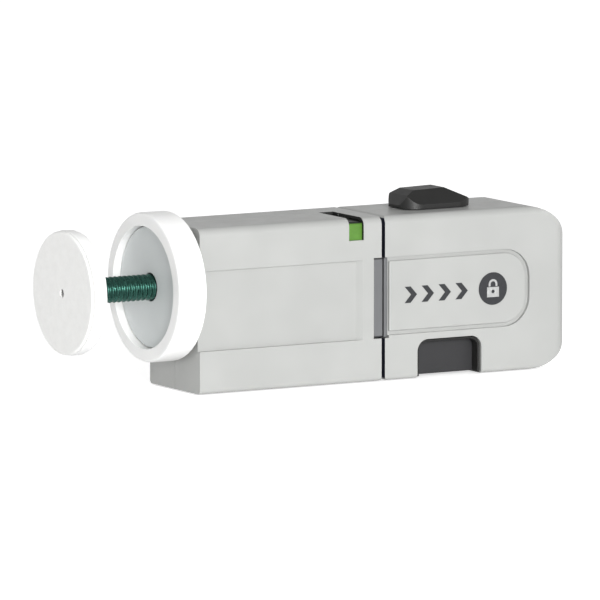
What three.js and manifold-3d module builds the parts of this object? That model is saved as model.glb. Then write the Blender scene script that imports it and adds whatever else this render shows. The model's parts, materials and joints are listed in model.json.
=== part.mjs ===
// Latch of a pressure-fit stair gate: the upper corner that holds the gate to the wall and shuts its leaf.
//
// Left half, fixed: a wall cup on a threaded spindle, the hand wheel that winds the spindle out, and a
// two-shell housing that sits on the frame's upright.
// Right half, on the leaf: a two-shell handle with a thumb slide on top that draws the upper bolt, and a
// squeeze trigger below that draws the lower bolt through a crank.
//
// Millimetres. X runs along the gate from the wall towards the leaf, -Y is the front, +Z is up.
// Inside this file X = 0 is the wall-side face of the hand wheel and Z = 0 is the underside. The exported
// group moves the origin to the middle of the underside.

import * as THREE from "three";
import { mergeVertices } from "three/addons/utils/BufferGeometryUtils.js";
import Module from "manifold-3d";

const wasm = await Module();
wasm.setup();

// ---------------------------------------------------------------- driving dimensions

const GAP = 0.3; // clearance kept between pieces that rest on each other
const FAR = 300; // reach of a cutting block that has to pass right through
const OVER = 1; // how far a cutting block runs past the face it cuts

const DEPTH = 19; // half the depth of both halves, front to back
const HEIGHT = 62; // height of both halves
const WALL = 2.4; // wall of every moulded shell
const EDGE = 3.2; // rounding along the top edges
const FOOT_EDGE = 1.5; // rounding along the bottom edges
const ORIGIN_X = 69.45; // middle of the whole part along X, from wall face to handle end

const AXIS_Z = 39; // height of the spindle's axis
const CUP = { face: -34.3, pad: 1, back: -26.9, tip: -20, radius: 23.3, padRadius: 23.1, hole: 1.5 };
const CUP_NECK = { foot: 14, waist: 9.6, shoulder: 8.6, end: 7.8, rise: 1.4, chamfer: 0.8 };
const SPINDLE = { radius: 4.9, bore: 5.3, left: -30, right: 52 };
const WHEEL = { face: 0, back: 12, radius: 28, recess: 23, floor: 4.2, hub: 9, hubEnd: 32, edge: 1.2 };
const WHEEL_GROOVE = { outer: 25, outerFoot: 24.4, inner: 14.6, depth: 4 }; // round groove in its back
const CAP_THICKNESS = 0.9;
const NUT = { left: 4.5, right: 12, flats: 17 };

const WASHER = { bore: 9.4, radius: 14, thickness: 1 };
const BUSH = { flange: 12.4, lip: 14, body: 12, lipLeft: 16.3, lipRight: 17.8, right: 22 };
const GUIDE = { left: 36, right: 75.7, radius: 8, plateLeft: 56, plateRight: 59, seatLeft: 73 };

const HOUSING = { left: 13.6, right: 91.8, endWall: 4.4 };
const BAND_TOP = 16; // top of the plain band round the foot of both halves
const PANEL = {
  top: 46,
  right: 83.6,
  depth: 1.6,
  slope: 2,
}; // shallow panel in the housing's front and back
const POST = {
  left: 20.9,
  right: 75,
  halfDepth: 9.25,
  seat: 15,
  wall: 2.35,
  foot: 0.8,
  flange: 2.3,
  flangeHeight: 2,
};
const NOTCH = { top: 46.5, left: 88.4, right: 95 }; // where both halves are cut back round the keeper
const KEEPER = {
  left: 84.9,
  step: 87.1,
  right: 92.8,
  bottom: 16.6,
  top: 46,
  halfDepth: 18.2,
  room: 16.7,
};
const SLOT = { halfWidth: 4.6, bottom: 18.4, top: 58 }; // vertical slot that both bolts enter

const WINDOW = { left: 77.7, right: 84, sill: 53.6, back: 4 };
const FLAG = {
  left: 71.4,
  right: 84.3,
  travel: 6,
  depth: 1.5,
  thickness: 1.4,
  legLeft: 81.9,
  legFoot: 36,
};
const FLAG_TRACK = { skin: 1.2, back: 4.2, foot: 50 };
const FLAG_SPRING = { radius: 2, wire: 0.3, turns: 5, left: 76, right: 81.6, z: 52 };

const HANDLE = { left: 93.3, right: 173.2, topCorner: [18, 16], footCorner: [17, 14], endEdge: 5 };
const BADGE = { bottom: 17, top: 46.5, right: 156.5, corner: 11, depth: 1.4, groove: 1.5 };
const TRIGGER = {
  left: 107.4,
  right: 135.4,
  top: 14.5,
  corner: 4.5,
  face: 13.8,
  frame: 1.2,
  wall: 2,
  sideTop: 11,
};
const TRIGGER_POST = { span: [119.9, 121.4], side: [4.8, 7.8], top: 26.3 };
const TRIGGER_SPRING = { radius: 2.4, wire: 0.4, turns: 6, bottom: 2.9, top: 15.7, x: 129, y: 5.5 };
const SLIDE = {
  left: 108.2,
  right: 138.6,
  halfDepth: 9,
  top: 69.6,
  corner: 7.5,
  travel: 10,
  crown: 19,
  rim: 2,
  slope: 4.2,
};
const NECK = { left: 119.2, right: 125.2, halfDepth: 3.2, foot: 57.3 };
const NECK_X = (NECK.left + NECK.right) / 2;
const NECK_SCREW = { shank: 1, hole: 1.3, head: 2.4, headBottom: 46.2, headTop: 48.4, tip: 64.5 };
const UPPER_BOLT = { tip: 83.9, end: 126, halfWidth: 4, bottom: 33, top: 41 };
const CARRIER = { left: 117.5, top: 57, screwFloor: 43.5 }; // the upper bolt's upright end
const BOLT_SPRING = {
  radius: 2.2,
  wire: 0.35,
  turns: 11,
  left: 98.4,
  right: 136.2,
  z: 37,
  bore: 2.9,
  boreLeft: 98,
};
const LOWER_BOLT = { tip: 90.2, end: 116, halfWidth: 4, bottom: 19, top: 25 };
const BOLT_HEIGHTS = [UPPER_BOLT, LOWER_BOLT].map(({ bottom, top }) => [bottom, top]);
const BOLT_ROOM = 4.4; // half the width of the windows that the bolts pass through
const CRANK = {
  x: 113,
  z: 28,
  boss: 2.6,
  bore: 1.6,
  pin: 1.4,
  downArm: 7,
  liftArm: 8.5,
  roomLeft: 3.2,
  roomRight: 1.6,
  roomHalfWidth: 2.4,
};
const BAR = { x: 144.3, radius: 4.95 };
const RAIL = { left: 139.2, bottom: 40.2, top: 52.8, halfDepth: 8.3 };
const RAIL_BLOCK = { wall: 2.5, right: 165.8, foot: 28 };
const CHASSIS = { left: 97.8, right: 134, bottom: 16, top: 44, halfDepth: 10.2, wall: 1.6 };
const CHASSIS_GUIDE_RIGHT = 103;
const CHASSIS_FLOOR_LEFT = 124;

const SCREW = { head: 3, shank: 1.2, hole: 1.5, boss: 3.4, headTop: 18.6, headSeat: 16.6, tip: -12 };
const CROSS_SLOT = { reach: 1.8, halfWidth: 0.4, depth: 1 };
const HOUSING_SCREWS = [
  [24, 54],
  [24, 24],
  [68, 53],
  [68, 24],
];
const HANDLE_SCREWS = [
  [101, 53],
  [99, 8],
  [158, 12],
  [160, 33.5],
];

// ---------------------------------------------------------------- colours

const paint = (color, roughness, metalness = 0) =>
  new THREE.MeshStandardMaterial({ color, roughness, metalness });

const SILVER_PLASTIC = paint(0xd5d6d4, 0.45);
const WHITE_PLASTIC = paint(0xf4f4f2, 0.4);
const GREY_PLASTIC = paint(0xb9bdbd, 0.5);
const KEEPER_PLASTIC = paint(0x828384, 0.5);
const DARK_PLASTIC = paint(0x4a4a4c, 0.5);
const BLACK_PLASTIC = paint(0x2c2c2a, 0.5);
const NATURAL_PLASTIC = paint(0xe4e2d8, 0.5);
const GREEN_PLASTIC = paint(0x5f9a3a, 0.4);
const STEEL = paint(0xa9b0ae, 0.35, 1);
const RUBBER = paint(0xe9e9e6, 0.8);

// ---------------------------------------------------------------- solids

// A closed geometry as a manifold solid.
function solid(geometry) {
  const plain = geometry.index ? geometry.toNonIndexed() : geometry.clone();
  plain.deleteAttribute("normal");
  plain.deleteAttribute("uv");
  const merged = mergeVertices(plain, 1e-4);
  return new wasm.Manifold(
    new wasm.Mesh({
      numProp: 3,
      vertProperties: merged.attributes.position.array,
      triVerts: new Uint32Array(merged.index.array),
    }),
  );
}

// A manifold solid as a geometry with flat faces.
function geometryOf(body) {
  const mesh = body.getMesh();
  const positions = new Float32Array(mesh.numVert * 3);
  for (let i = 0; i < mesh.numVert; i++) {
    positions.set(mesh.vertProperties.subarray(i * mesh.numProp, i * mesh.numProp + 3), i * 3);
  }
  const indexed = new THREE.BufferGeometry()
    .setAttribute("position", new THREE.BufferAttribute(positions, 3))
    .setIndex(new THREE.BufferAttribute(mesh.triVerts, 1));
  const flat = indexed.toNonIndexed();
  flat.computeVertexNormals();
  return flat;
}

// Turns a geometry drawn in the plane (u, v) and standing along w so that w lies along the named axis:
// x takes (u, v) to (y, z), y takes them to (x, z), and z to (x, y).
function stand(geometry, axis) {
  const basis = new THREE.Matrix4();
  if (axis === "x") {
    basis.makeBasis(new THREE.Vector3(0, 1, 0), new THREE.Vector3(0, 0, 1), new THREE.Vector3(1, 0, 0));
  }
  if (axis === "y") {
    basis.makeBasis(new THREE.Vector3(1, 0, 0), new THREE.Vector3(0, 0, 1), new THREE.Vector3(0, -1, 0));
  }
  return geometry.applyMatrix4(basis);
}

function box([x0, x1], [y0, y1], [z0, z1]) {
  const block = new THREE.BoxGeometry(x1 - x0, y1 - y0, z1 - z0);
  return solid(block.translate((x0 + x1) / 2, (y0 + y1) / 2, (z0 + z1) / 2));
}

// A round bar along an axis, from one place to another, about the point (u, v) of the other two axes.
function rod(axis, radius, [from, to], [u, v], sides = 24) {
  const bar = new THREE.CylinderGeometry(radius, radius, to - from, sides).rotateX(Math.PI / 2);
  const middle = (from + to) / 2;
  return solid(stand(bar.translate(u, v, axis === "y" ? -middle : middle), axis));
}

// A flat outline raised along an axis, from one place to another.
function prism(axis, outline, [from, to], curveSegments = 5) {
  const raised = new THREE.ExtrudeGeometry(outline, {
    depth: to - from,
    bevelEnabled: false,
    curveSegments,
  });
  raised.translate(0, 0, axis === "y" ? -to : from);
  return solid(stand(raised, axis));
}

function polygon(points) {
  return new THREE.Shape(points.map(([u, v]) => new THREE.Vector2(u, v)));
}

// A rectangle whose corners are quarter ellipses. Each corner is [width, height], from the low-u, low-v
// corner round through high u.
function roundedRectangle([u0, u1], [v0, v1], corners) {
  const [a, b, c, d] = corners.map((corner) => (Array.isArray(corner) ? corner : [corner, corner]));
  const turn = Math.PI / 2;
  const shape = new THREE.Shape();
  shape.moveTo(u0 + a[0], v0);
  shape.lineTo(u1 - b[0], v0);
  shape.absellipse(u1 - b[0], v0 + b[1], b[0], b[1], 3 * turn, 4 * turn);
  shape.lineTo(u1, v1 - c[1]);
  shape.absellipse(u1 - c[0], v1 - c[1], c[0], c[1], 0, turn);
  shape.lineTo(u0 + d[0], v1);
  shape.absellipse(u0 + d[0], v1 - d[1], d[0], d[1], turn, 2 * turn);
  shape.lineTo(u0, v0 + a[1]);
  shape.absellipse(u0 + a[0], v0 + a[1], a[0], a[1], 2 * turn, 3 * turn);
  return shape;
}

// A profile of [x, radius] pairs turned about the spindle's axis.
function turned(profile, sides = 40) {
  const points = profile.map(([x, radius]) => new THREE.Vector2(radius, x));
  const lathe = new THREE.LatheGeometry(points, sides);
  lathe.rotateZ(-Math.PI / 2).translate(0, 0, AXIS_Z);
  return solid(lathe);
}

function joined(parts) {
  return parts.reduce((whole, part) => whole.add(part));
}

const frontHalf = (body) => body.intersect(box([-FAR, FAR], [-FAR, -0.1], [-FAR, FAR]));
const rearHalf = (body) => body.intersect(box([-FAR, FAR], [0.1, FAR], [-FAR, FAR]));

// ---------------------------------------------------------------- shared outlines

// The cross-section that both halves share, drawn in from the outer skin by an inset.
function section(inset) {
  const top = Math.max(EDGE - inset, 0.5);
  const foot = Math.max(FOOT_EDGE - inset, 0.3);
  return roundedRectangle([-DEPTH + inset, DEPTH - inset], [inset, HEIGHT - inset], [foot, foot, top, top]);
}

// Bosses for screws that come in from the back, and what is drilled out of them.
function screwBosses(places) {
  return joined(places.map((place) => rod("y", SCREW.boss, [-DEPTH + 1, DEPTH - 1], place, 16)));
}

function screwHoles(places) {
  const holes = places.flatMap((place) => [
    rod("y", SCREW.hole, [SCREW.tip - 1, SCREW.headSeat + 0.1], place, 16),
    rod("y", SCREW.head + GAP, [SCREW.headSeat - GAP, DEPTH + 1], place, 16),
  ]);
  return joined(holes);
}

function screw(place) {
  const head = rod("y", SCREW.head, [SCREW.headSeat, SCREW.headTop], place, 16);
  const shank = rod("y", SCREW.shank, [SCREW.tip, SCREW.headSeat], place, 10);
  const [x, z] = place;
  const { reach, halfWidth, depth } = CROSS_SLOT;
  const crossSlots = [
    box([x - reach, x + reach], [SCREW.headTop - depth, DEPTH], [z - halfWidth, z + halfWidth]),
    box([x - halfWidth, x + halfWidth], [SCREW.headTop - depth, DEPTH], [z - reach, z + reach]),
  ];
  return head.add(shank).subtract(joined(crossSlots));
}

// ---------------------------------------------------------------- wall end

function wallPad() {
  const back = CUP.face + CUP.pad;
  const edge = 0.8;
  return turned([
    [CUP.face, CUP.hole],
    [CUP.face, CUP.padRadius - edge],
    [CUP.face + 0.3 * edge, CUP.padRadius - 0.3 * edge],
    [CUP.face + edge, CUP.padRadius],
    [back, CUP.padRadius],
    [back, CUP.hole],
    [CUP.face, CUP.hole],
  ]);
}

function wallCup() {
  const front = CUP.face + CUP.pad + GAP;
  const socket = SPINDLE.left - GAP;
  const frontEdge = 0.4;
  const backEdge = 2.2;
  return turned([
    [front, CUP.hole],
    [front, CUP.radius - frontEdge],
    [front + frontEdge, CUP.radius],
    [CUP.back - backEdge, CUP.radius],
    [CUP.back - 0.3 * backEdge, CUP.radius - 0.3 * backEdge],
    [CUP.back, CUP.radius - backEdge],
    [CUP.back, CUP_NECK.foot],
    [CUP.back + CUP_NECK.rise, CUP_NECK.waist],
    [CUP.tip - CUP_NECK.chamfer, CUP_NECK.shoulder],
    [CUP.tip, CUP_NECK.end],
    [CUP.tip, SPINDLE.bore],
    [socket, SPINDLE.bore],
    [socket, CUP.hole],
    [front, CUP.hole],
  ]);
}

// A plain bar of the thread's outer size.
function spindle() {
  const chamfer = 0.8;
  return turned(
    [
      [SPINDLE.left, 0],
      [SPINDLE.left, SPINDLE.radius - chamfer],
      [SPINDLE.left + chamfer, SPINDLE.radius],
      [SPINDLE.right - chamfer, SPINDLE.radius],
      [SPINDLE.right, SPINDLE.radius - chamfer],
      [SPINDLE.right, 0],
    ],
    32,
  );
}

function hexagon(flats) {
  const corner = flats / Math.sqrt(3);
  const points = Array.from({ length: 6 }, (_, i) => {
    const angle = (i * Math.PI) / 3;
    return [corner * Math.cos(angle), AXIS_Z + corner * Math.sin(angle)];
  });
  return polygon(points);
}

function handWheel() {
  const { face, back, radius, edge } = WHEEL;
  const corner = 0.3 * edge;
  const body = turned(
    [
      [face, WHEEL.recess],
      [face, radius - edge],
      [face + corner, radius - corner],
      [face + edge, radius],
      [back - edge, radius],
      [back - corner, radius - corner],
      [back, radius - edge],
      [back, WHEEL_GROOVE.outer],
      [back - WHEEL_GROOVE.depth, WHEEL_GROOVE.outerFoot],
      [back - WHEEL_GROOVE.depth, WHEEL_GROOVE.inner],
      [back, WHEEL_GROOVE.inner],
      [back, WHEEL.hub],
      [WHEEL.hubEnd, WHEEL.hub],
      [WHEEL.hubEnd, SPINDLE.bore],
      [WHEEL.floor, SPINDLE.bore],
      [WHEEL.floor, WHEEL.recess],
      [face, WHEEL.recess],
    ],
    48,
  );
  return body.subtract(prism("x", hexagon(NUT.flats + 2 * GAP), [WHEEL.floor - 1, NUT.right + GAP]));
}

function spindleNut() {
  const bore = rod("x", SPINDLE.radius + 0.2, [NUT.left - 1, NUT.right + 1], [0, AXIS_Z], 32);
  return prism("x", hexagon(NUT.flats), [NUT.left, NUT.right]).subtract(bore);
}

// A flat ring turned about the spindle's axis, from one place to another.
function ring([left, right], bore, radius, sides = 40) {
  const profile = [
    [left, bore],
    [left, radius],
    [right, radius],
    [right, bore],
    [left, bore],
  ];
  return turned(profile, sides);
}

// The grey disc that covers the nut.
function wheelCap() {
  const back = WHEEL.floor - GAP;
  return ring([back - CAP_THICKNESS, back], SPINDLE.bore, WHEEL.recess - GAP, 48);
}

function thrustWasher() {
  const left = WHEEL.back + GAP;
  return ring([left, left + WASHER.thickness], WASHER.bore, WASHER.radius);
}

// The bush that the wheel's hub turns in. Its lip sits behind the housing's end wall.
function bearingBush() {
  const left = HOUSING.left + 0.1;
  const bore = WHEEL.hub + GAP;
  return turned([
    [left, bore],
    [left, BUSH.flange],
    [BUSH.lipLeft, BUSH.flange],
    [BUSH.lipLeft, BUSH.lip],
    [BUSH.lipRight, BUSH.lip],
    [BUSH.lipRight, BUSH.body],
    [BUSH.right, BUSH.body],
    [BUSH.right, bore],
    [left, bore],
  ]);
}

// ---------------------------------------------------------------- fixed housing

// Room for the indicator flag, behind a thin skin round the front top edge.
function flagTrack() {
  const span = [FLAG.left - 2 * GAP, FLAG.right + FLAG.travel + GAP];
  const outer = prism("x", section(FLAG_TRACK.skin), span);
  const inner = prism("x", section(FLAG_TRACK.back), [span[0] - OVER, span[1] + OVER]);
  const reach = box([0, FAR], [-DEPTH, WINDOW.back + OVER], [FLAG_TRACK.foot, HEIGHT]);
  return outer.subtract(inner).intersect(reach);
}

function housingShell() {
  const cavity = prism("x", section(WALL), [HOUSING.left + WALL, HOUSING.right - HOUSING.endWall]);
  const panel = polygon([
    [HOUSING.left - 2, -DEPTH - 1],
    [PANEL.right + PANEL.slope / PANEL.depth, -DEPTH - 1],
    [PANEL.right - PANEL.slope, -DEPTH + PANEL.depth],
    [HOUSING.left - 2, -DEPTH + PANEL.depth],
  ]);
  const frontPanel = prism("z", panel, [BAND_TOP, PANEL.top]);
  const endWallLeft = HOUSING.right - HOUSING.endWall;
  const postRoom = POST.wall + GAP;
  const postDepth = POST.halfDepth + postRoom;
  const cuts = [
    cavity,
    rod("x", BUSH.flange + GAP, [HOUSING.left - 1, HOUSING.left + WALL + 1], [0, AXIS_Z], 32),
    box([POST.left - postRoom, POST.right + postRoom], [-postDepth, postDepth], [-1, WALL + 1]),
    frontPanel,
    frontPanel.mirror([0, 1, 0]),
    box([NOTCH.left, HOUSING.right + 1], [-DEPTH - 1, DEPTH + 1], [BAND_TOP, NOTCH.top]),
    box([endWallLeft - 1, NOTCH.left + 1], [-KEEPER.room, KEEPER.room], [BAND_TOP + GAP, NOTCH.top - 0.2]),
    box([endWallLeft - 1, HOUSING.right + 1], [-SLOT.halfWidth, SLOT.halfWidth], [NOTCH.top - 1, SLOT.top]),
    box([WINDOW.left, WINDOW.right], [-DEPTH - 1, -DEPTH + EDGE], [WINDOW.sill, HEIGHT + 1]),
    box([WINDOW.left, WINDOW.right], [-DEPTH, WINDOW.back], [HEIGHT - 4, HEIGHT + 1]),
    flagTrack(),
    screwHoles(HOUSING_SCREWS),
  ];
  const body = prism("x", section(0), [HOUSING.left, HOUSING.right]);
  const [shell, ...rest] = cuts;
  return body.subtract(shell).add(screwBosses(HOUSING_SCREWS)).subtract(joined(rest));
}

// The box-shaped socket that slides over the top of the frame's upright.
function postSocket() {
  const { left, right, halfDepth, wall, flange } = POST;
  const outer = box(
    [left - wall, right + wall],
    [-halfDepth - wall, halfDepth + wall],
    [POST.foot, POST.seat + wall],
  );
  const rim = wall + flange;
  const flangeFoot = WALL + GAP;
  const flangePlate = box(
    [left - rim, right + rim],
    [-halfDepth - rim, halfDepth + rim],
    [flangeFoot, flangeFoot + POST.flangeHeight],
  );
  const room = box([left, right], [-halfDepth, halfDepth], [-1, POST.seat]);
  return outer.add(flangePlate).subtract(room);
}

// Guides the spindle's inner end, and carries the seat of the indicator's spring.
function spindleGuide() {
  const inside = DEPTH - WALL - 0.4;
  const tube = rod("x", GUIDE.radius, [GUIDE.left, GUIDE.right], [0, AXIS_Z], 32);
  const plateTop = HEIGHT - WALL - 0.4;
  const plateOutline = roundedRectangle([-inside, inside], [POST.seat + 3, plateTop], [2, 2, 3, 3]);
  const plate = prism("x", plateOutline, [GUIDE.plateLeft, GUIDE.plateRight]);
  const springSeat = box([GUIDE.seatLeft, GUIDE.right], [-4, 4], [AXIS_Z, FLAG_SPRING.z + 4.5]);
  const bore = rod("x", SPINDLE.bore, [GUIDE.left - 1, GUIDE.right + 1], [0, AXIS_Z], 32);
  return joined([tube, plate, springSeat]).subtract(bore);
}

// The grey block between the halves, with the slot that both bolts enter.
function keeper() {
  const { left, step, right, bottom, top, halfDepth } = KEEPER;
  const inner = KEEPER.room - 0.4;
  const slot = box([left - 1, right + 1], [-SLOT.halfWidth, SLOT.halfWidth], [SLOT.bottom, HEIGHT]);
  return joined([
    box([left, step], [-inner, inner], [bottom - 2.6, top + 2.5]),
    box([step, right], [-inner, inner], [bottom, top]),
    box([NOTCH.left + GAP, right], [-halfDepth, halfDepth], [bottom, top]),
  ]).subtract(slot);
}

// A band under the skin, with a leg down to the upper bolt's tip.
function indicatorFlag() {
  const outer = prism("x", section(FLAG.depth), [FLAG.left, FLAG.right]);
  const inner = prism("x", section(FLAG.depth + FLAG.thickness), [FLAG.left - 1, FLAG.right + 1]);
  const lowest = WINDOW.sill - 2.1;
  const band = outer.subtract(inner).intersect(box([0, FAR], [-DEPTH, WINDOW.back + 0.4], [lowest, HEIGHT]));
  const leg = box([FLAG.legLeft, UPPER_BOLT.tip - GAP], [-3.5, 3.5], [FLAG.legFoot, HEIGHT - 2]);
  return band.add(leg);
}

// ---------------------------------------------------------------- handle on the leaf

// The handle's outer form drawn in by an inset: the shared section, rounded off at its far end.
function handleForm(inset) {
  const ends = [HANDLE.left + inset, HANDLE.right - inset];
  const foot = Math.max(FOOT_EDGE - inset, 0.3);
  const [footCorner, topCorner] = [HANDLE.footCorner, HANDLE.topCorner].map(([width, height]) => [
    width - inset,
    height - inset,
  ]);
  const side = roundedRectangle(ends, [inset, HEIGHT - inset], [foot, footCorner, topCorner, foot]);
  const end = Math.max(HANDLE.endEdge - inset, 0.5);
  const plan = roundedRectangle(ends, [-DEPTH + inset, DEPTH - inset], [0.3, end, end, 0.3]);
  return prism("x", section(inset), ends)
    .intersect(prism("y", side, [-DEPTH, DEPTH]))
    .intersect(prism("z", plan, [0, HEIGHT]));
}

// The round-ended badge outline, drawn in by an inset. It runs off the handle's near end.
function badgeOutline(inset) {
  const corner = BADGE.corner - inset;
  const span = [HANDLE.left - 2 + inset, BADGE.right - inset];
  return roundedRectangle(span, [BADGE.bottom + inset, BADGE.top - inset], [0.3, corner, corner, 0.3]);
}

// The hole for the trigger, with round top corners, drawn in by an inset.
function triggerOutline(inset, [bottom, top] = [-2, TRIGGER.top - inset]) {
  const corner = TRIGGER.corner - inset;
  const sides = [TRIGGER.left + inset, TRIGGER.right - inset];
  return roundedRectangle(sides, [bottom, top], [0.3, 0.3, corner, corner]);
}

function handleShell() {
  const railSides = [-RAIL.halfDepth, RAIL.halfDepth];
  const neckRoom = [NECK.left - GAP, NECK.right + SLIDE.travel + GAP];
  const boltWindows = BOLT_HEIGHTS.map(([low, high]) =>
    box([HANDLE.left - 1, HANDLE.left + 6], [-BOLT_ROOM, BOLT_ROOM], [low - 0.4, high + 0.4]),
  );
  const cuts = [
    box([HANDLE.left - 1, NOTCH.right], [-DEPTH - 1, DEPTH + 1], [BAND_TOP, NOTCH.top]),
    prism("y", badgeOutline(0), [-DEPTH - 1, -DEPTH + BADGE.depth]),
    prism("y", triggerOutline(0), [-DEPTH - 1, DEPTH + 1]),
    box(neckRoom, [-NECK.halfDepth - GAP, NECK.halfDepth + GAP], [HEIGHT - WALL - 1, HEIGHT + 1]),
    rod("z", BAR.radius, [-1, WALL + 1], [BAR.x, 0], 32),
    box([HANDLE.right - WALL - 1, HANDLE.right + 1], railSides, [RAIL.bottom, RAIL.top]),
    screwHoles(HANDLE_SCREWS),
    ...boltWindows,
  ];
  const inside = DEPTH - WALL + 0.4;
  const innerEnd = box([NOTCH.right, NOTCH.right + WALL], [-inside, inside], [BAND_TOP - 1, NOTCH.top + 1]);
  const hollow = handleForm(0).subtract(handleForm(WALL));
  return hollow.add(innerEnd).add(screwBosses(HANDLE_SCREWS)).subtract(joined(cuts));
}

// The grey plate that closes the handle's near end and faces the keeper.
function latchFace() {
  const plate = box(
    [HANDLE.left, NOTCH.right - GAP],
    [-KEEPER.halfDepth, KEEPER.halfDepth],
    [BAND_TOP + GAP, NOTCH.top - GAP],
  );
  const windows = BOLT_HEIGHTS.map(([low, high]) =>
    box([HANDLE.left - 1, NOTCH.right], [-BOLT_ROOM, BOLT_ROOM], [low - 0.4, high + 0.4]),
  );
  return plate.subtract(joined(windows));
}

function badgePlate() {
  const face = prism("y", badgeOutline(BADGE.groove), [-DEPTH + GAP, -DEPTH + BADGE.depth - GAP]);
  return face.intersect(box([NOTCH.right + GAP, FAR], [-DEPTH, 0], [0, HEIGHT]));
}

// Holds the ends of the leaf's top rail and of its first upright bar.
function railBlock() {
  const { wall, right, foot } = RAIL_BLOCK;
  const depth = RAIL.halfDepth + wall;
  const body = box([RAIL.left - wall, right], [-depth, depth], [foot, RAIL.top + wall]);
  const barSleeve = rod("z", BAR.radius + wall, [WALL + GAP, foot + 1], [BAR.x, 0], 32);
  const railRoom = box(
    [RAIL.left, HANDLE.right],
    [-RAIL.halfDepth, RAIL.halfDepth],
    [RAIL.bottom, RAIL.top],
  );
  const barRoom = rod("z", BAR.radius, [0, RAIL.bottom + 1], [BAR.x, 0], 32);
  const screwRoom = rod("y", SCREW.boss + GAP, [-DEPTH, DEPTH], HANDLE_SCREWS[3], 16);
  return body.add(barSleeve).subtract(joined([railRoom, barRoom, screwRoom]));
}

// The inner frame that guides both bolts, holds the crank's pin and seats the trigger's springs.
function chassis() {
  const { left, right, bottom, top, halfDepth, wall } = CHASSIS;
  const guide = box([left, CHASSIS_GUIDE_RIGHT], [-halfDepth, halfDepth], [bottom, top]);
  const sides = [-1, 1].map((side) => {
    const [near, far] = [halfDepth - wall, halfDepth].map((y) => y * side);
    return box([left, right], [Math.min(near, far), Math.max(near, far)], [bottom + 1, top]);
  });
  const floor = box([CHASSIS_FLOOR_LEFT, right], [-halfDepth, halfDepth], [bottom, bottom + wall]);
  const guideRoom = BOLT_ROOM - 0.1;
  const boltRooms = BOLT_HEIGHTS.map(([low, high]) =>
    box([left - OVER, CHASSIS_GUIDE_RIGHT + OVER], [-guideRoom, guideRoom], [low - GAP, high + GAP]),
  );
  const pinHole = rod("y", CRANK.pin + 0.1, [-halfDepth - 1, halfDepth + 1], [CRANK.x, CRANK.z], 20);
  return joined([guide, ...sides, floor]).subtract(joined([...boltRooms, pinHole]));
}

function thumbSlide() {
  const { left, right, halfDepth, top } = SLIDE;
  const side = polygon([
    [left + 0.8, HEIGHT + GAP],
    [right - 0.8, HEIGHT + GAP],
    [right, HEIGHT + 1.2],
    [right - 0.6, HEIGHT + 2.8],
    [left + SLIDE.crown, top],
    [left + 5.5, top - 0.4],
    [left + 2, top - 2.2],
    [left, HEIGHT + 1.6],
  ]);
  const corner = [SLIDE.corner, SLIDE.corner - 1];
  const plan = roundedRectangle([left, right], [-halfDepth, halfDepth], [corner, corner, corner, corner]);
  const front = polygon([
    [-halfDepth, HEIGHT],
    [halfDepth, HEIGHT],
    [halfDepth, HEIGHT + SLIDE.rim],
    [halfDepth - SLIDE.slope, top + 0.2],
    [SLIDE.slope - halfDepth, top + 0.2],
    [-halfDepth, HEIGHT + SLIDE.rim],
  ]);
  const cap = prism("y", side, [-halfDepth, halfDepth])
    .intersect(prism("z", plan, [HEIGHT, top + OVER]))
    .intersect(prism("x", front, [left, right]));
  const neck = box([NECK.left, NECK.right], [-NECK.halfDepth, NECK.halfDepth], [NECK.foot, HEIGHT + 1]);
  const screwRoom = rod("z", NECK_SCREW.hole, [NECK.foot - OVER, NECK_SCREW.tip + 0.5], [NECK_X, 0], 16);
  return cap.add(neck).subtract(screwRoom);
}

// The screw that ties the thumb slide to the bolt's carrier, put in from below.
function slideScrew() {
  const { shank, head, headBottom, headTop, tip } = NECK_SCREW;
  const shaft = rod("z", shank, [headTop - 0.1, tip], [NECK_X, 0], 12);
  return shaft.add(rod("z", head, [headBottom, headTop], [NECK_X, 0], 20));
}

function upperBolt() {
  const { tip, end, halfWidth, bottom, top } = UPPER_BOLT;
  const side = [-halfWidth, halfWidth];
  const bar = box([tip, end], side, [bottom, top]);
  const carrier = box([CARRIER.left, end], side, [top - 1, CARRIER.top]);
  const headRoom = NECK_SCREW.head + GAP;
  const headSpan = [CARRIER.screwFloor, NECK_SCREW.headTop + GAP];
  const cuts = [
    rod("x", BOLT_SPRING.bore, [BOLT_SPRING.boreLeft, end + OVER], [0, BOLT_SPRING.z], 24),
    rod("z", NECK_SCREW.hole, [headSpan[0] + OVER, CARRIER.top + OVER], [NECK_X, 0], 16),
    rod("z", headRoom, headSpan, [NECK_X, 0], 20),
    box([NECK_X - headRoom, end + OVER], [-headRoom, headRoom], headSpan),
  ];
  return bar.add(carrier).subtract(joined(cuts));
}

function lowerBolt() {
  const { tip, end, halfWidth, bottom, top } = LOWER_BOLT;
  const bar = box([tip, end], [-halfWidth, halfWidth], [bottom, top]);
  const crankRoom = box(
    [CRANK.x - CRANK.roomLeft, CRANK.x + CRANK.roomRight],
    [-CRANK.roomHalfWidth, CRANK.roomHalfWidth],
    [bottom - OVER, top + OVER],
  );
  return bar.subtract(crankRoom);
}

// A two-armed lever: the trigger lifts its long arm, and its short arm draws the lower bolt.
function crank() {
  const { x, z, downArm, liftArm } = CRANK;
  const boss = rod("y", CRANK.boss, [-3.5, 8], [x, z], 24);
  const down = box([x - 1, x + 1], [-1.8, 1.8], [z - downArm, z]);
  const lift = box([x, x + liftArm], TRIGGER_POST.side, [z - 1.2, z + 1.2]);
  const bore = rod("y", CRANK.bore, [-6, 10], [x, z], 20);
  return joined([boss, down, lift]).subtract(bore);
}

function crankPin() {
  const reach = CHASSIS.halfDepth - 0.2;
  return rod("y", CRANK.pin, [-reach, reach], [CRANK.x, CRANK.z], 20);
}

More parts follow.
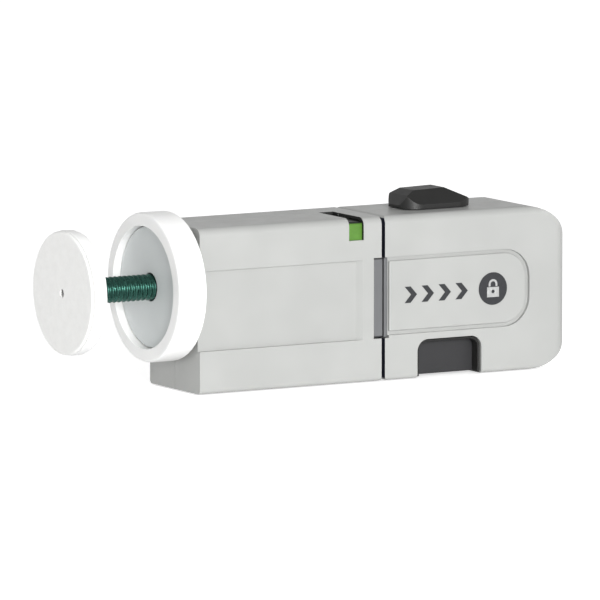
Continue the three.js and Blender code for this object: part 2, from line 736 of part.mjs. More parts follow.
// The dark liner of the trigger's hole, in the front and the back.
function triggerFrame(side) {
  const outer = triggerOutline(GAP, [0.4, TRIGGER.top - GAP]);
  const inner = triggerOutline(TRIGGER.frame);
  const [near, far] = [TRIGGER.face + GAP, DEPTH - 0.8].map((y) => y * side);
  const span = [Math.min(near, far), Math.max(near, far)];
  return prism("y", outer, span).subtract(prism("y", inner, span));
}

function trigger() {
  const { wall, face } = TRIGGER;
  const inset = 0.4;
  const left = TRIGGER.left + inset;
  const right = TRIGGER.right - inset;
  const body = prism("y", triggerOutline(inset, [0.6, TRIGGER.top + 2]), [-face, face]);
  const inside = [wall - face, face - wall];
  const cuts = [
    box([left + wall, right - wall], inside, [0.6 + wall, FAR]),
    box([left - OVER, right + OVER], inside, [TRIGGER.sideTop, FAR]),
  ];
  const post = box(TRIGGER_POST.span, TRIGGER_POST.side, [wall, TRIGGER_POST.top]);
  return body.subtract(joined(cuts)).add(post);
}

// ---------------------------------------------------------------- springs

class Helix extends THREE.Curve {
  constructor(radius, length, turns) {
    super();
    this.radius = radius;
    this.length = length;
    this.turns = turns;
  }

  getPoint(t, target = new THREE.Vector3()) {
    const angle = 2 * Math.PI * this.turns * t;
    return target.set(this.radius * Math.cos(angle), this.radius * Math.sin(angle), this.length * t);
  }
}

// A compression spring along an axis, between two places, about the point (u, v) of the other two axes.
function spring(axis, { radius, wire, turns }, [from, to], [u, v]) {
  const path = new Helix(radius, to - from - 2 * wire, turns);
  const round = new THREE.Shape().absarc(0, 0, wire, 0, 2 * Math.PI);
  const coil = new THREE.ExtrudeGeometry(round, {
    extrudePath: path,
    steps: Math.round(turns * 8),
    curveSegments: 2,
    bevelEnabled: false,
  });
  return solid(stand(coil.translate(u, v, from + wire), axis));
}

const boltSpring = () =>
  spring("x", BOLT_SPRING, [BOLT_SPRING.left, BOLT_SPRING.right], [0, BOLT_SPRING.z]);

const indicatorSpring = () =>
  spring("x", FLAG_SPRING, [FLAG_SPRING.left, FLAG_SPRING.right], [0, FLAG_SPRING.z]);

const triggerSpring = (y) =>
  spring("z", TRIGGER_SPRING, [TRIGGER_SPRING.bottom, TRIGGER_SPRING.top], [TRIGGER_SPRING.x, y]);

// ---------------------------------------------------------------- assembly

const latch = new THREE.Group();
latch.position.x = -ORIGIN_X;

function place(group, name, body, material) {
  const mesh = new THREE.Mesh(geometryOf(body), material);
  mesh.name = name;
  group.add(mesh);
}

function addGroup(parent) {
  const group = new THREE.Group();
  parent.add(group);
  return group;
}

const housing = addGroup(latch);
const shell = housingShell();
place(housing, "housing_front", frontHalf(shell), SILVER_PLASTIC);
place(housing, "housing_rear", rearHalf(shell), SILVER_PLASTIC);
place(housing, "post_socket", postSocket(), WHITE_PLASTIC);
place(housing, "spindle_guide", spindleGuide(), NATURAL_PLASTIC);
place(housing, "bearing_bush", bearingBush(), NATURAL_PLASTIC);
place(housing, "thrust_washer", thrustWasher(), STEEL);
place(housing, "keeper", keeper(), KEEPER_PLASTIC);
place(housing, "indicator_spring", indicatorSpring(), STEEL);
HOUSING_SCREWS.forEach((where, i) => place(housing, `housing_screw_${i + 1}`, screw(where), STEEL));

const flag = addGroup(housing);
place(flag, "indicator_flag", indicatorFlag(), GREEN_PLASTIC);

const wheel = addGroup(housing);
place(wheel, "hand_wheel", handWheel(), WHITE_PLASTIC);
place(wheel, "wheel_cap", wheelCap(), GREY_PLASTIC);
place(wheel, "spindle_nut", spindleNut(), STEEL);

const rodGroup = addGroup(housing);
place(rodGroup, "spindle", spindle(), STEEL);

const cup = addGroup(rodGroup);
place(cup, "wall_cup", wallCup(), WHITE_PLASTIC);
place(cup, "wall_pad", wallPad(), RUBBER);

const handle = addGroup(latch);
const handleBody = handleShell();
place(handle, "handle_front", frontHalf(handleBody), SILVER_PLASTIC);
place(handle, "handle_rear", rearHalf(handleBody), SILVER_PLASTIC);
place(handle, "badge_plate", badgePlate(), SILVER_PLASTIC);
place(handle, "latch_face", latchFace(), KEEPER_PLASTIC);
place(handle, "rail_block", railBlock(), WHITE_PLASTIC);
place(handle, "chassis", chassis(), NATURAL_PLASTIC);
place(handle, "crank_pin", crankPin(), STEEL);
place(handle, "trigger_frame_front", triggerFrame(-1), BLACK_PLASTIC);
place(handle, "trigger_frame_rear", triggerFrame(1), BLACK_PLASTIC);
place(handle, "bolt_spring", boltSpring(), STEEL);
place(handle, "trigger_spring_front", triggerSpring(-TRIGGER_SPRING.y), STEEL);
place(handle, "trigger_spring_rear", triggerSpring(TRIGGER_SPRING.y), STEEL);
HANDLE_SCREWS.forEach((where, i) => place(handle, `handle_screw_${i + 1}`, screw(where), STEEL));

const slide = addGroup(handle);
place(slide, "thumb_slide", thumbSlide(), BLACK_PLASTIC);
place(slide, "slide_screw", slideScrew(), STEEL);
place(slide, "upper_bolt", upperBolt(), NATURAL_PLASTIC);

const squeeze = addGroup(handle);
place(squeeze, "trigger", trigger(), DARK_PLASTIC);

const lever = addGroup(handle);
place(lever, "crank", crank(), NATURAL_PLASTIC);

const lowerBoltGroup = addGroup(handle);
place(lowerBoltGroup, "lower_bolt", lowerBolt(), NATURAL_PLASTIC);

export default latch;
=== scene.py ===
# Visual model of a stair gate latch: a wall cup on a threaded spindle, a hand wheel, the housing on the
# frame's upright, and the handle that lifts off with the leaf.
#
# Metres, in the row frame: X runs along the gate from the wall towards the leaf, -Y is the front, +Z is up.

import json
import math

import bmesh
import bpy
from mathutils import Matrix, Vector


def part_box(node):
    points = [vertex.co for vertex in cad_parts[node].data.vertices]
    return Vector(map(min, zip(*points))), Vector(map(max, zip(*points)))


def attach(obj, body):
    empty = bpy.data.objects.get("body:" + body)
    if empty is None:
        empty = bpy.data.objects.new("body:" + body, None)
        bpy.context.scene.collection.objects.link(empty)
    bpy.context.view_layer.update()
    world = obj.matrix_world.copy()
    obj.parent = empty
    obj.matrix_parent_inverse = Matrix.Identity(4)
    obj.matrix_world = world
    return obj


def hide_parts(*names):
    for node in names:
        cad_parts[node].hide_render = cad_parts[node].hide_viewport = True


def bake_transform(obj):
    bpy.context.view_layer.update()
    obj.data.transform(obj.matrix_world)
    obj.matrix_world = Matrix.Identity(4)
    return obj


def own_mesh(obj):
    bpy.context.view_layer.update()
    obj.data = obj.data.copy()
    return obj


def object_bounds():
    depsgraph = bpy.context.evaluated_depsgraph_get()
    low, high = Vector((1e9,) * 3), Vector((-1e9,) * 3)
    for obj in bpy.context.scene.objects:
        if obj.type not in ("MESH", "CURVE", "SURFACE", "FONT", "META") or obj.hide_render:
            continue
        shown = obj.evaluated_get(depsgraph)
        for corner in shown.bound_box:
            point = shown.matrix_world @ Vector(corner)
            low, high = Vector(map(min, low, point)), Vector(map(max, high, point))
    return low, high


MM = 0.001

# ---------------------------------------------------------------- frame

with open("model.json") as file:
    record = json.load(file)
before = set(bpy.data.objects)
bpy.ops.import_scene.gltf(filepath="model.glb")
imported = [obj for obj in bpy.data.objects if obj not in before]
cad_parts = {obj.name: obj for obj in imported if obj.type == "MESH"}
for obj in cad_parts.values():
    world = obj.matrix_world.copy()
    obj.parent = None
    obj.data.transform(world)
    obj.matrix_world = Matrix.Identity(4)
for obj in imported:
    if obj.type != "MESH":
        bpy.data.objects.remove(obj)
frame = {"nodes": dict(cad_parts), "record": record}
NODES = frame["nodes"]
cad_low, cad_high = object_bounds()

BODY_OF = {
    node: body
    for body, members in frame["record"]["behaviour"]["bodies"].items()
    for node in members
}


# ---------------------------------------------------------------- materials


def srgb(red, green, blue):
    """A colour given in 0-255 display values, as linear values for a shader."""

    def linear(value):
        value /= 255
        return value / 12.92 if value <= 0.04045 else ((value + 0.055) / 1.055) ** 2.4

    return linear(red), linear(green), linear(blue), 1.0


def node(tree, kind, inputs=None, **settings):
    made = tree.nodes.new(kind)
    for key, value in settings.items():
        setattr(made, key, value)
    for key, value in (inputs or {}).items():
        made.inputs[key].default_value = value
    return made


def noise(tree, scale, detail=3.0, roughness=0.55, stretch=None):
    """Noise in the row frame. scale is in cells a metre, and stretch squeezes it along X, Y and Z."""
    place = node(tree, "ShaderNodeTexCoord")
    mapping = node(tree, "ShaderNodeMapping", {"Scale": stretch or (1, 1, 1)})
    tree.links.new(place.outputs["Object"], mapping.inputs["Vector"])
    made = node(
        tree,
        "ShaderNodeTexNoise",
        {"Scale": scale, "Detail": detail, "Roughness": roughness},
    )
    tree.links.new(mapping.outputs["Vector"], made.inputs["Vector"])
    return made.outputs["Fac"]


def ramp(tree, value, stops):
    """value sent through a colour ramp with the given (place, colour) stops."""
    made = node(tree, "ShaderNodeValToRGB")
    elements = made.color_ramp.elements
    while len(elements) < len(stops):
        elements.new(0.5)
    for element, (place, color) in zip(elements, stops):
        element.position = place
        element.color = color
    tree.links.new(value, made.inputs["Fac"])
    return made.outputs["Color"]


def spread(tree, value, low, high):
    """value, which lies round 0.5, mapped to the range low to high."""
    made = node(
        tree,
        "ShaderNodeMapRange",
        {"From Min": 0.3, "From Max": 0.7, "To Min": low, "To Max": high},
    )
    tree.links.new(value, made.inputs["Value"])
    return made.outputs["Result"]


def bump(tree, height, distance, strength, below=None):
    made = node(tree, "ShaderNodeBump", {"Distance": distance, "Strength": strength})
    tree.links.new(height, made.inputs["Height"])
    if below is not None:
        tree.links.new(below, made.inputs["Normal"])
    return made.outputs["Normal"]


def shader(name):
    """An empty material and its Principled shader."""
    material = bpy.data.materials.new(name)
    material.use_nodes = True
    tree = material.node_tree
    return material, tree, tree.nodes["Principled BSDF"]


def shaded(color, factor):
    return tuple(min(channel * factor, 1.0) for channel in color[:3]) + (1.0,)


def moulded_plastic(name, color, roughness, grain=0.25, vary=0.03, coat=0.0, subsurface=0.0):
    """Moulded plastic: a spark-eroded grain, slow variation in colour, and marks of handling in its gloss."""
    material, tree, principled = shader(name)
    flow = noise(tree, 38, detail=2.0)
    tint = ramp(tree, flow, [(0.35, shaded(color, 1 - vary)), (0.65, shaded(color, 1 + vary))])
    tree.links.new(tint, principled.inputs["Base Color"])
    smudges = noise(tree, 150, detail=5.0, roughness=0.65)
    gloss = spread(tree, smudges, roughness - 0.05, roughness + 0.07)
    tree.links.new(gloss, principled.inputs["Roughness"])
    fine = bump(tree, noise(tree, 3400, detail=2.0), 0.00004, grain)
    sink = bump(tree, noise(tree, 90, detail=1.0), 0.0002, 0.12, below=fine)
    tree.links.new(sink, principled.inputs["Normal"])
    principled.inputs["IOR"].default_value = 1.5
    principled.inputs["Coat Weight"].default_value = coat
    principled.inputs["Coat Roughness"].default_value = 0.25
    principled.inputs["Subsurface Weight"].default_value = subsurface
    principled.inputs["Subsurface Radius"].default_value = (0.004, 0.004, 0.0035)
    principled.inputs["Subsurface Scale"].default_value = 0.6
    return material


def plated_steel(name, color, roughness, scratch=0.3):
    """Zinc-plated steel: a patchy passivated tint, drawn scratches along X, and cloudy gloss."""
    material, tree, principled = shader(name)
    patches = noise(tree, 420, detail=4.0, roughness=0.6)
    tint = ramp(
        tree,
        patches,
        [(0.3, shaded(color, 0.72)), (0.55, color), (0.75, shaded(color, 1.25))],
    )
    tree.links.new(tint, principled.inputs["Base Color"])
    clouds = noise(tree, 900, detail=4.0)
    tree.links.new(
        spread(tree, clouds, roughness - 0.08, roughness + 0.12),
        principled.inputs["Roughness"],
    )
    drawn = noise(tree, 5200, detail=2.0, stretch=(0.08, 1, 1))
    tree.links.new(bump(tree, drawn, 0.00003, scratch), principled.inputs["Normal"])
    principled.inputs["Metallic"].default_value = 1.0
    return material


def past(tree, axis, level):
    """0 below a level along an axis of the frame and 1 above it, with a crisp edge."""
    place = node(tree, "ShaderNodeTexCoord")
    split = node(tree, "ShaderNodeSeparateXYZ")
    tree.links.new(place.outputs["Object"], split.inputs["Vector"])
    edge = node(tree, "ShaderNodeMapRange", {"From Min": level - 0.0002, "From Max": level + 0.0002})
    tree.links.new(split.outputs[axis], edge.inputs["Value"])
    return edge.outputs["Result"]


def switched(tree, factor, first, second):
    """first where factor is 0 and second where it is 1. Each is a colour or a socket."""
    blend = node(tree, "ShaderNodeMix", data_type="RGBA")
    tree.links.new(factor, blend.inputs["Factor"])
    for name, value in (("A", first), ("B", second)):
        if isinstance(value, tuple):
            blend.inputs[name].default_value = value
        else:
            tree.links.new(value, blend.inputs[name])
    return blend.outputs["Result"]


def flag_plastic(name, opened, shut, painted_top_shade, side_x, shade_z, roughness):
    """The flag's moulding: one colour shows when the latch is open, one when it is shut. Its top is painted
    near-black, a painted shade for the shadow in the slot above it.
    """
    material, tree, principled = shader(name)
    mottle = noise(tree, 260, detail=3.0)
    zones = [ramp(tree, mottle, [(0.3, shaded(c, 0.9)), (0.7, shaded(c, 1.1))]) for c in (opened, shut)]
    front = switched(tree, past(tree, "X", side_x), *zones)
    # painted shade: above the given level the flag turns near-black, for the shadow in the slot over it
    tree.links.new(switched(tree, past(tree, "Z", shade_z), front, painted_top_shade), principled.inputs["Base Color"])
    gloss = spread(tree, noise(tree, 300, detail=4.0), roughness - 0.05, roughness + 0.06)
    tree.links.new(gloss, principled.inputs["Roughness"])
    grain = bump(tree, noise(tree, 3400, detail=2.0), 0.00003, 0.15)
    tree.links.new(grain, principled.inputs["Normal"])
    return material


def printed_ink(name, color):
    """Pad-printed ink: thin, a little worn, slightly glossier than the plastic below it."""
    material, tree, principled = shader(name)
    wear = noise(tree, 1300, detail=5.0, roughness=0.7)
    tint = ramp(tree, wear, [(0.25, shaded(color, 1.5)), (0.5, color)])
    tree.links.new(tint, principled.inputs["Base Color"])
    tree.links.new(spread(tree, wear, 0.34, 0.46), principled.inputs["Roughness"])
    return material


def soft_rubber(name, color):
    """Matte rubber with a dusty, slightly uneven skin."""
    material, tree, principled = shader(name)
    dust = noise(tree, 260, detail=5.0, roughness=0.7)
    tint = ramp(tree, dust, [(0.3, shaded(color, 0.95)), (0.7, shaded(color, 1.02))])
    tree.links.new(tint, principled.inputs["Base Color"])
    tree.links.new(spread(tree, dust, 0.62, 0.78), principled.inputs["Roughness"])
    grain = bump(tree, noise(tree, 2600, detail=3.0), 0.00005, 0.3)
    tree.links.new(grain, principled.inputs["Normal"])
    principled.inputs["Subsurface Weight"].default_value = 0.1
    principled.inputs["Subsurface Radius"].default_value = (0.003, 0.003, 0.003)
    principled.inputs["Subsurface Scale"].default_value = 0.5
    return material


# Each colour is an albedo in display values, followed by the roughness and any further settings.
PLASTICS = {
    "shell_plastic": ((168, 169, 167), 0.42, {"coat": 0.1}),
    "white_plastic": ((247, 247, 246), 0.36, {"grain": 0.12, "coat": 0.2, "subsurface": 0.08}),
    "cap_plastic": ((213, 217, 217), 0.45, {}),
    "keeper_plastic": ((101, 102, 104), 0.5, {}),
    "trigger_plastic": ((40, 40, 42), 0.5, {"grain": 0.35}),
    "slide_plastic": ((23, 23, 22), 0.46, {"grain": 0.4}),
    "natural_plastic": ((228, 226, 214), 0.4, {"subsurface": 0.15}),
    # painted shade: dark navy for the end faces at the seam, standing in for the shadow in the gap between
    # housing and handle
    "seam_plastic": ((34, 35, 50), 0.5, {}),
    # painted shade: near-black for the walls of the indicator window, standing in for the shade inside the
    # slot
    "slot_plastic": ((18, 19, 18), 0.5, {}),
}
STEELS = {
    "zinc_steel": ((176, 186, 184), 0.34, {}),
    "thread_steel": ((62, 104, 94), 0.3, {"scratch": 0.15}),
    "spring_steel": ((150, 150, 152), 0.3, {}),
}
INKS = {"ink": (40, 41, 44), "tile_ink": (165, 166, 165)}
FLAG_ZONE_X = 0.0084  # where the flag's open colour meets its shut colour
# painted shade: above this level the flag is near-black, for the slot's shadow
FLAG_SHADE_Z = 0.0598  # where its dark top begins

MATERIALS = {
    "pad_rubber": soft_rubber("pad_rubber", srgb(250, 250, 248)),
    "flag_plastic": flag_plastic(
        "flag_plastic",
        opened=srgb(176, 40, 32),
        shut=srgb(84, 130, 46),
        # painted shade on the flag's top, for the shadow in the slot
        painted_top_shade=srgb(22, 26, 22),
        side_x=FLAG_ZONE_X,
        shade_z=FLAG_SHADE_Z,
        roughness=0.35,
    ),
}
for name, (color, roughness, settings) in PLASTICS.items():
    MATERIALS[name] = moulded_plastic(name, srgb(*color), roughness, **settings)
for name, (color, roughness, settings) in STEELS.items():
    MATERIALS[name] = plated_steel(name, srgb(*color), roughness, **settings)
for name, color in INKS.items():
    MATERIALS[name] = printed_ink(name, srgb(*color))
SLOT_OF = {entry["node"]: entry["material_slot"] for entry in frame["record"]["subparts"]}


def dress(obj, material):
    obj.data.materials.clear()
    obj.data.materials.append(material)


# ---------------------------------------------------------------- pieces


SAME_POINT = 0.000002
SAME_PLANE = math.radians(0.6)
HARD_EDGE = math.radians(24)


def soften(obj, width, segments):
    """Rounds an object's hard edges as a mould does, and shades it smoothly."""
    weld = obj.modifiers.new("weld", "WELD")
    weld.merge_threshold = SAME_POINT
    flat = obj.modifiers.new("flat", "DECIMATE")
    flat.decimate_type = "DISSOLVE"
    flat.angle_limit = SAME_PLANE
    flat.delimit = {"MATERIAL"}
    bevel = obj.modifiers.new("bevel", "BEVEL")
    bevel.width = width
    bevel.segments = segments
    bevel.limit_method = "ANGLE"
    bevel.angle_limit = HARD_EDGE
    bevel.harden_normals = False
    bevel.miter_outer = "MITER_ARC"
    normals = obj.modifiers.new("normals", "WEIGHTED_NORMAL")
    normals.weight = 60
    normals.keep_sharp = False


def smooth_faces(mesh):
    mesh.polygons.foreach_set("use_smooth", [True] * len(mesh.polygons))
    if mesh.attributes.get("custom_normal"):
        mesh.attributes.remove(mesh.attributes["custom_normal"])
    mesh.update()


THIN_EDGE = 0.0003  # of every piece that has none here
EDGE_WIDTH = {
    "housing_front": 0.0006,
    "housing_rear": 0.0006,
    "handle_front": 0.0007,
    "handle_rear": 0.0007,
    "badge_plate": 0.0004,
    "keeper": 0.0006,
    "thumb_slide": 0.0006,
    "trigger": 0.0007,
    "indicator_flag": 0.0003,
}
for name, obj in NODES.items():
    smooth_faces(obj.data)
    dress(obj, MATERIALS[SLOT_OF[name]])
    soften(obj, EDGE_WIDTH.get(name, THIN_EDGE), segments=3 if name in EDGE_WIDTH else 2)


# ---------------------------------------------------------------- painted shade in the seam and the indicator window


def tint_faces(name, material, chosen):
    """Gives the faces of a CAD node that chosen(centre, normal) picks a material of their own."""
    mesh = NODES[name].data
    mesh.materials.append(material)
    for face in mesh.polygons:
        if chosen(face.center, face.normal):
            face.material_index = len(mesh.materials) - 1


NEAR = 0.0002  # how close to an end face its triangles' middles lie
WINDOW_LEFT = 0.008  # from the flag's right end to the window's left wall
WINDOW_RIGHT = 0.0012  # and to beyond its right wall
WINDOW_DEPTH = 0.008  # from the flag's top to below the window's walls
WINDOW_BACK = 0.0055  # beyond the window's rear wall
_, flag_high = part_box("indicator_flag")
_, housing_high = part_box("housing_front")
handle_low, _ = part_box("handle_front")
plate_low, plate_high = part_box("badge_plate")


def is_window_wall(centre, normal):
    """The faces of the slot that the indicator shows through, which get a near-black painted shade."""
    across = flag_high.x - WINDOW_LEFT < centre.x < flag_high.x + WINDOW_RIGHT
    sunk = centre.z > flag_high.z - WINDOW_DEPTH and centre.y < WINDOW_BACK
    along = abs(normal.x) > 0.9 or (normal.y < -0.9 and centre.y > 0)
    return across and sunk and along


def is_housing_end(centre, normal):
    return normal.x > 0.9 and centre.x > housing_high.x - NEAR


def is_handle_end(centre, normal):
    return normal.x < -0.9 and centre.x < handle_low.x + NEAR


# Painted shade: the end faces at the seam turn dark navy for the gap's shadow, and the window's walls
# near-black for the slot's shade
for name in ("housing_front", "housing_rear"):
    tint_faces(name, MATERIALS["seam_plastic"], is_housing_end)
    # painted shade: the window's walls are made near-black for the shade in the slot
    tint_faces(name, MATERIALS["slot_plastic"], is_window_wall)
for name in ("handle_front", "handle_rear"):
    tint_faces(name, MATERIALS["seam_plastic"], is_handle_end)


# ---------------------------------------------------------------- threaded spindle


def mesh_piece(name, mesh, material, body=None):
    piece = bpy.data.objects.new(name, mesh)
    bpy.context.scene.collection.objects.link(piece)
    smooth_faces(mesh)
    dress(piece, material)
    if body:
        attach(piece, body)
    return piece


THREAD = {
    "pitch": 0.002,
    "depth": 0.00095,
    "groove": 0.8,  # its share of the pitch
    "rounding": 0.8,  # below 1 the groove's flanks bulge out
    "lead_in": 0.0015,
    "around": 32,
    "rings_a_turn": 8,
}


def thread_radius(along, turn, length, major):
    """The radius of the rod at a place along it and a share of a turn round it."""
    phase = (along / THREAD["pitch"] - turn) % 1
    flank = min(abs(phase - 0.5) * 2 / THREAD["groove"], 1)
    depth = THREAD["depth"] * (1 - flank) ** THREAD["rounding"]
    end = min(along, length - along)
    taper = max(0, 1 - end / THREAD["lead_in"]) * THREAD["depth"]
    return major - max(depth, taper)


def threaded_rod():
    (x0, y0, z0), (x1, y1, z1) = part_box("spindle")
    major = (z1 - z0) / 2
    middle = (z0 + z1) / 2
    length = x1 - x0
    rings = round(length / THREAD["pitch"] * THREAD["rings_a_turn"])
    around = THREAD["around"]
    rod = bmesh.new()
    loops = []
    for i in range(rings + 1):
        along = length * i / rings
        loop = []
        for j in range(around):
            radius = thread_radius(along, j / around, length, major)
            angle = 2 * math.pi * j / around
            place = (x0 + along, radius * math.cos(angle), middle + radius * math.sin(angle))
            loop.append(rod.verts.new(place))
        loops.append(loop)
    for first, second in zip(loops, loops[1:]):
        for j in range(around):
            k = (j + 1) % around
            rod.faces.new((first[j], first[k], second[k], second[j]))
    rod.faces.new(reversed(loops[0]))
    rod.faces.new(loops[-1])
    bmesh.ops.recalc_face_normals(rod, faces=rod.faces)
    mesh = bpy.data.meshes.new("spindle_thread")
    rod.to_mesh(mesh)
    rod.free()
    piece = mesh_piece("spindle_thread", mesh, MATERIALS["thread_steel"], "spindle")
    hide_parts("spindle")


threaded_rod()

COIL = {"steps_a_turn": 20, "around": 8}


def coil_spring(spring, along, turns, wire):
    """A coil of round wire in the room of a CAD spring. along is the index of its axis, wire its half
    thickness in metres."""
    low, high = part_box(spring)
    axis, across, up = (Vector([float(i == (along + k) % 3) for i in range(3)]) for k in range(3))
    middle = (low + high) / 2
    radius = (high - low).dot(across) / 2 - wire
    length = (high - low).dot(axis) - 2 * wire
    rise = length / (2 * math.pi * turns)
    steps = round(turns * COIL["steps_a_turn"])
    around = COIL["around"]
    coil = bmesh.new()
    loops = []
    for i in range(steps + 1):
        angle = 2 * math.pi * turns * i / steps
        out = across * math.cos(angle) + up * math.sin(angle)
        side = (up * math.cos(angle) - across * math.sin(angle)) * radius + axis * rise
        normal = side.cross(out).normalized()
        centre = middle + out * radius + axis * (rise * angle - length / 2)
        turn = [2 * math.pi * j / around for j in range(around)]
        spokes = [out * math.cos(t) + normal * math.sin(t) for t in turn]
        loops.append([coil.verts.new(centre + spoke * wire) for spoke in spokes])
    for first, second in zip(loops, loops[1:]):
        for j in range(around):
            k = (j + 1) % around
            coil.faces.new((first[j], first[k], second[k], second[j]))
    coil.faces.new(reversed(loops[0]))
    coil.faces.new(loops[-1])
    bmesh.ops.recalc_face_normals(coil, faces=coil.faces)
    name = spring + "_coil"
    mesh = bpy.data.meshes.new(name)
    coil.to_mesh(mesh)
    coil.free()
    return name, mesh


def squeezed_spring(spring, along, turns, wire, joint, travel):
    """A coil in the room of a CAD spring, on that spring's body; it keeps its length, and joint and travel
    are not used.
    """
    name, mesh = coil_spring(spring, along, turns, wire)
    piece = mesh_piece(name, mesh, MATERIALS["spring_steel"], BODY_OF[spring])
    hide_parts(spring)
    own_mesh(piece)


def stretched_spring(spring, along, turns, wire, body):
    """A coil in the room of a CAD spring, standing free of any body; body is not used."""
    name, mesh = coil_spring(spring, along, turns, wire)
    piece = mesh_piece(name, mesh, MATERIALS["spring_steel"])
    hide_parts(spring)
    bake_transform(piece)


ALONG_X, ALONG_Z = 0, 2
BOLT_SPRING = {"along": ALONG_X, "turns": 11, "wire": 0.35 * MM}
TRIGGER_SPRING = {"along": ALONG_Z, "turns": 6, "wire": 0.4 * MM}
INDICATOR_SPRING = {"along": ALONG_X, "turns": 5, "wire": 0.3 * MM}

squeezed_spring("bolt_spring", **BOLT_SPRING, joint="thumb_draw", travel=10 * MM)
for side in ("front", "rear"):
    squeezed_spring(f"trigger_spring_{side}", **TRIGGER_SPRING, joint="trigger_squeeze", travel=4 * MM)
stretched_spring("indicator_spring", **INDICATOR_SPRING, body="indicator")

# ---------------------------------------------------------------- printed marks


def arc(centre, radius, start, end, steps=12):
    """Points on an arc from one angle to another, in degrees."""
    return [
        (
            centre[0] + radius * math.cos(math.radians(start + (end - start) * i / steps)),
            centre[1] + radius * math.sin(math.radians(start + (end - start) * i / steps)),
        )
        for i in range(steps + 1)
    ]


def circle(centre, radius, corners):
    return arc(centre, radius, 0, 360 - 360 / corners, corners - 1)


def print_mark(name, loops, centre, lift, material, thickness=0.00008):
    """A flat printed shape on the badge plate. loops are outlines in millimetres about its centre; an
    outline inside another is a hole."""
    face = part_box("badge_plate")[0].y
    curve = bpy.data.curves.new(name, "CURVE")
    curve.dimensions = "2D"
    curve.fill_mode = "BOTH"
    curve.extrude = thickness / 2
    for loop in loops:
        spline = curve.splines.new("POLY")
        spline.points.add(len(loop) - 1)
        for point, (x, z) in zip(spline.points, loop):
            point.co = (x * MM, z * MM, 0, 1)
        spline.use_cyclic_u = True
    flat = bpy.data.objects.new(name, curve)
    mesh = bpy.data.meshes.new_from_object(flat)
    bpy.data.objects.remove(flat)
    for vertex in mesh.vertices:
        x, z, out = vertex.co
        vertex.co = (centre[0] + x, face - lift - thickness / 2 - out, centre[1] + z)
    mesh.name = name
    piece = mesh_piece(name, mesh, material, BODY_OF["badge_plate"])
    mesh.polygons.foreach_set("use_smooth", [False] * len(mesh.polygons))


def chevron(x, half_height=3.1, width=2.6, run=2.8):
    """An arrow head that starts at x and points right, in millimetres."""
    return [
        (x, -half_height),
        (x + width, -half_height),
        (x + width + run, 0),
        (x + width, half_height),
        (x, half_height),
        (x + run, 0),
    ]


ARROWS = 4
ARROW_STEP = 0.0074
ARROW_START = -4.6
FIRST_ARROW = 0.034  # from the tile's middle back to the first arrow's
TILE_INSET = 0.0145  # from the plate's round end to the tile's middle
TILE_RADIUS = 6.2
INK_LIFT = 0.00002
TOP_INK_LIFT = 0.00011  # the padlock is printed over the tile
LOCK_BODY = [(-2.6, -3.2), (2.6, -3.2), (2.6, 0.6), (-2.6, 0.6)]
KEYHOLE = circle((0, -1.1), 0.7, 24)
SHACKLE = (
    [(1.9, 0.9)]
    + arc((0, 1.7), 1.9, 0, 180)
    + [(-1.9, 0.9), (-1.1, 0.9)]
    + arc((0, 1.7), 1.1, 180, 0)
    + [(1.1, 0.9)]
)


def print_badge():
    """A row of arrows towards a round tile with a padlock."""
    middle_z = (plate_low.z + plate_high.z) / 2
    tile = (plate_high.x - TILE_INSET, middle_z)
    for count in range(ARROWS):
        centre = (tile[0] - FIRST_ARROW + ARROW_STEP * count, middle_z)
        print_mark(f"arrow_mark_{count + 1}", [chevron(ARROW_START)], centre, INK_LIFT, MATERIALS["ink"])
    disc = circle((0, 0), TILE_RADIUS, 60)
    print_mark("lock_tile", [disc], tile, INK_LIFT, MATERIALS["ink"])
    print_mark("lock_body", [LOCK_BODY, KEYHOLE], tile, TOP_INK_LIFT, MATERIALS["tile_ink"])
    print_mark("lock_shackle", [SHACKLE], tile, TOP_INK_LIFT, MATERIALS["tile_ink"])


print_badge()

# ---------------------------------------------------------------- floor, light and camera


FLOOR_SIZE = 6
FLOOR_GAP = 0.0005  # below the object, so that the two don't share a plane
FLOOR_GLOW = 0.6  # as the camera sees it
FLOOR_BOUNCE = 0.1  # as the object sees it


def add_floor():
    """A wide white sheet that stays white to the camera and throws little light up."""
    bpy.ops.mesh.primitive_plane_add(size=FLOOR_SIZE, location=(0, 0, cad_low.z - FLOOR_GAP))
    floor = bpy.context.object
    floor.name = "floor"
    material, tree, principled = shader("floor_paint")
    principled.inputs["Base Color"].default_value = srgb(246, 246, 246)
    principled.inputs["Roughness"].default_value = 0.9
    principled.inputs["Specular IOR Level"].default_value = 0.0
    principled.inputs["Emission Color"].default_value = (1, 1, 1, 1)
    path = node(tree, "ShaderNodeLightPath")
    glow = node(tree, "ShaderNodeMapRange", {"To Min": FLOOR_BOUNCE, "To Max": FLOOR_GLOW})
    tree.links.new(path.outputs["Is Camera Ray"], glow.inputs["Value"])
    tree.links.new(glow.outputs["Result"], principled.inputs["Emission Strength"])
    dress(floor, material)


def direction(azimuth, elevation):
    """The unit vector from the object to a place. Azimuth 0 is the front and grows towards +X."""
    angle, rise = math.radians(azimuth), math.radians(elevation)
    return Vector(
        (math.sin(angle) * math.cos(rise), -math.cos(angle) * math.cos(rise), math.sin(rise))
    )


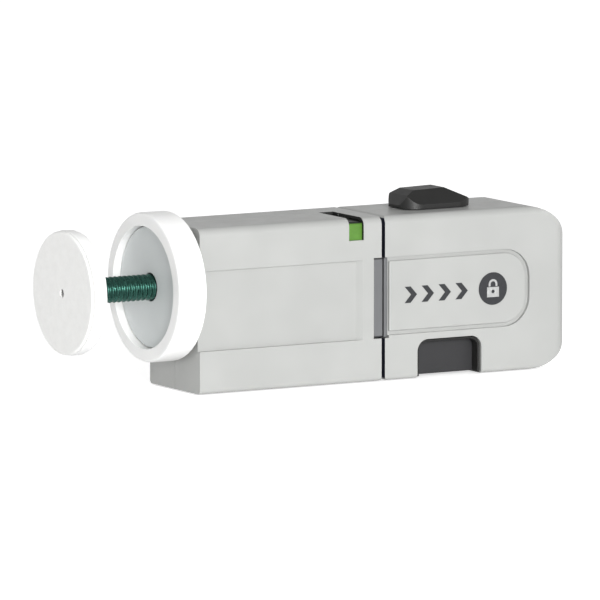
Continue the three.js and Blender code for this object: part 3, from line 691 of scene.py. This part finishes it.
def add_area(name, azimuth, elevation, distance, size, power):
    light = bpy.data.lights.new(name, "AREA")
    light.shape = "DISK"
    light.size = size
    light.energy = power
    lamp = bpy.data.objects.new(name, light)
    bpy.context.scene.collection.objects.link(lamp)
    back = direction(azimuth, elevation)
    lamp.location = Vector(CENTRE) + back * distance
    lamp.rotation_euler = (-back).to_track_quat("-Z", "Y").to_euler()


def add_world(zenith, horizon, backdrop):
    """Soft light all round, dimmer overhead than at the horizon, in front of an even white backdrop."""
    world = bpy.data.worlds.new("studio")
    bpy.context.scene.world = world
    world.use_nodes = True
    tree = world.node_tree
    place = node(tree, "ShaderNodeTexCoord")
    split = node(tree, "ShaderNodeSeparateXYZ")
    tree.links.new(place.outputs["Generated"], split.inputs["Vector"])
    height = node(
        tree,
        "ShaderNodeMapRange",
        {"From Min": 0.0, "From Max": 0.6, "To Min": horizon, "To Max": zenith},
    )
    tree.links.new(split.outputs["Z"], height.inputs["Value"])
    path = node(tree, "ShaderNodeLightPath")
    seen = node(tree, "ShaderNodeMix", {"B": backdrop}, data_type="FLOAT")
    tree.links.new(path.outputs["Is Camera Ray"], seen.inputs["Factor"])
    tree.links.new(height.outputs["Result"], seen.inputs["A"])
    background = tree.nodes["Background"]
    background.inputs["Color"].default_value = (1, 1, 1, 1)
    tree.links.new(seen.outputs["Result"], background.inputs["Strength"])


def add_camera(azimuth, elevation, distance, target, lens):
    back = direction(azimuth, elevation)
    camera = bpy.data.objects.new("camera", bpy.data.cameras.new("camera"))
    bpy.context.scene.collection.objects.link(camera)
    bpy.context.scene.camera = camera
    camera.data.sensor_width = 36
    camera.data.lens = lens
    camera.data.clip_end = 50
    camera.location = Vector(target) + back * distance
    camera.rotation_euler = (-back).to_track_quat("-Z", "Y").to_euler()


CENTRE = (0.0, 0.0, 0.035)
add_floor()
add_world(zenith=0.4, horizon=1.1, backdrop=1.0)
add_area("key", azimuth=-12, elevation=10, distance=2.5, size=1.2, power=66)
add_camera(azimuth=-30, elevation=7.3, distance=4.06, target=(-0.002, 0, 0.030), lens=650)
bpy.context.scene.view_settings.view_transform = "Standard"

bpy.context.view_layer.update()
